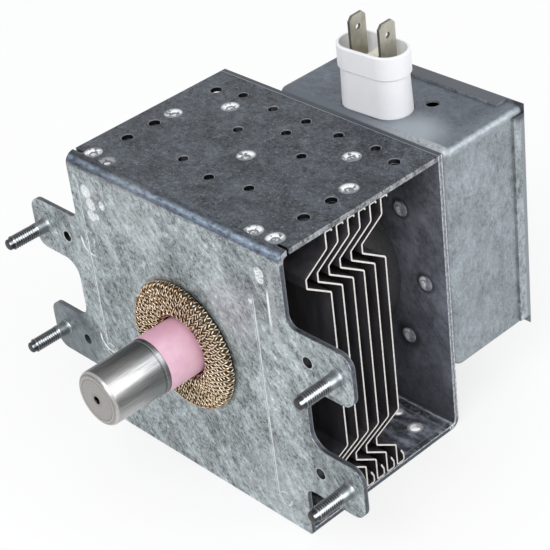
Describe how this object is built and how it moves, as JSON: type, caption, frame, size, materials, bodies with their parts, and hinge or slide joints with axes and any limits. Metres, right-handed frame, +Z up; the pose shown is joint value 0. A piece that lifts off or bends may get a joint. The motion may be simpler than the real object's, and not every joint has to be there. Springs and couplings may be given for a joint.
{
  "type": "microwave oven magnetron",
  "caption": "Microwave oven magnetron: a folded steel yoke round a finned anode, with an antenna on a mounting face with studded ears and a filter box with a two-blade connector.",
  "frame": {"origin": "centre of the four mounting studs on the front mounting face", "axes": "-Y out of the mounting face along the antenna, +Z up towards the connector, X across the sides that are open to the cooling air"},
  "size_m": [0.122, 0.1174, 0.1116],
  "materials": {
    "zinc_steel": "galvanised, matt",
    "stud_steel": "zinc plated, bright",
    "stainless": "satin",
    "gasket_mesh": "knitted wire mesh",
    "pink_ceramic": "matt",
    "white_ceramic": "matt",
    "ferrite": "matt, dark grey",
    "copper": "bare copper",
    "pole_iron": "plated soft iron",
    "tungsten": "dark, drawn wire",
    "aluminium_sheet": "mill finish",
    "white_plastic": "glossy white",
    "cast_resin": "pale yellow",
    "blade_metal": "nickel plated"
  },
  "bodies": {
    "root": {"anode_cylinder": "copper", "anode_vane_01": "copper", "anode_vane_02": "copper", "anode_vane_03": "copper", "anode_vane_04": "copper", "anode_vane_05": "copper", "anode_vane_06": "copper", "anode_vane_07": "copper", "anode_vane_08": "copper", "anode_vane_09": "copper", "anode_vane_10": "copper", "antenna_cap": "stainless", "antenna_ceramic": "pink_ceramic", "antenna_lead": "copper", "box_rivets": "stud_steel", "capacitor_case": "cast_resin", "capacitor_ceramic": "white_ceramic", "cathode_collar": "stainless", "cathode_end_hat": "tungsten", "cathode_filament": "tungsten", "cathode_pole_piece": "pole_iron", "cathode_strap_inner": "copper", "cathode_strap_outer": "copper", "centre_lead": "tungsten", "choke_coil_1": "copper", "choke_coil_2": "copper", "choke_core_1": "ferrite", "choke_core_2": "ferrite", "connector_housing": "white_plastic", "cooling_fin_1": "aluminium_sheet", "cooling_fin_2": "aluminium_sheet", "cooling_fin_3": "aluminium_sheet", "cooling_fin_4": "aluminium_sheet", "cooling_fin_5": "aluminium_sheet", "cooling_fin_6": "aluminium_sheet", "earth_plate": "blade_metal", "exhaust_tube": "copper", "filter_box": "zinc_steel", "filter_lid": "zinc_steel", "front_magnet": "ferrite", "mounting_studs": "stud_steel", "output_collar": "stainless", "output_end_hat": "tungsten", "output_pole_piece": "pole_iron", "output_seal_cup": "stainless", "output_strap_inner": "copper", "output_strap_outer": "copper", "rear_magnet": "ferrite", "rf_gasket": "gasket_mesh", "side_lead": "tungsten", "stem_ceramic": "white_ceramic", "terminal_1": "blade_metal", "terminal_2": "blade_metal", "terminal_insulator": "cast_resin", "yoke_front": "zinc_steel", "yoke_rear": "zinc_steel"}
  },
  "joints": []
}
